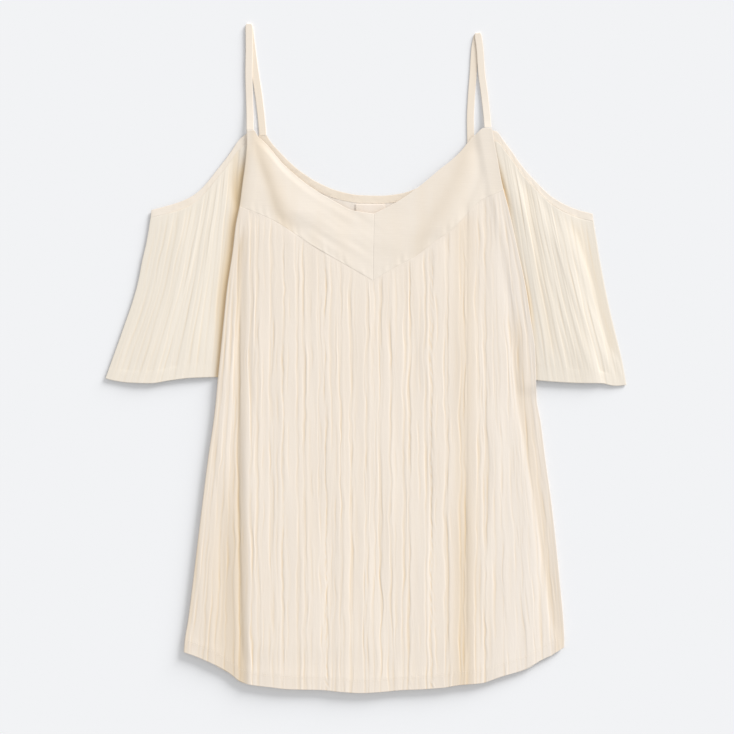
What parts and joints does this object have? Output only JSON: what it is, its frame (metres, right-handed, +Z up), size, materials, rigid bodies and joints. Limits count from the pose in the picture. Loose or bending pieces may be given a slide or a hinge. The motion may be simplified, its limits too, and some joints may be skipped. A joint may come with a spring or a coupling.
{
  "type": "cold-shoulder blouse",
  "caption": "Ivory crinkle-cloth blouse laid flat, with a smooth V yoke, thin shoulder straps, bare-shoulder elbow sleeves and a gently curved hem.",
  "frame": {"origin": "on the ground, under the middle of the whole laid-out blouse", "axes": "+Y from the hem towards the straps, +Z up from the ground through the cloth, +X towards the picture's right"},
  "size_m": [0.5722, 0.7364, 0.0069],
  "materials": {
    "crinkle_cloth": "soft vertical crinkle, matte",
    "smooth_cloth": "fine smooth jersey, matte",
    "label_cloth": "smooth woven tape, blank"
  },
  "bodies": {
    "root": {"front_panel": "crinkle_cloth", "back_panel": "crinkle_cloth", "sleeve_left": "crinkle_cloth", "sleeve_right": "crinkle_cloth", "yoke_left": "smooth_cloth", "yoke_right": "smooth_cloth", "back_neck_binding": "smooth_cloth", "shoulder_band_left": "smooth_cloth", "shoulder_band_right": "smooth_cloth", "strap_left": "smooth_cloth", "strap_right": "smooth_cloth", "neck_label": "label_cloth"}
  },
  "joints": []
}
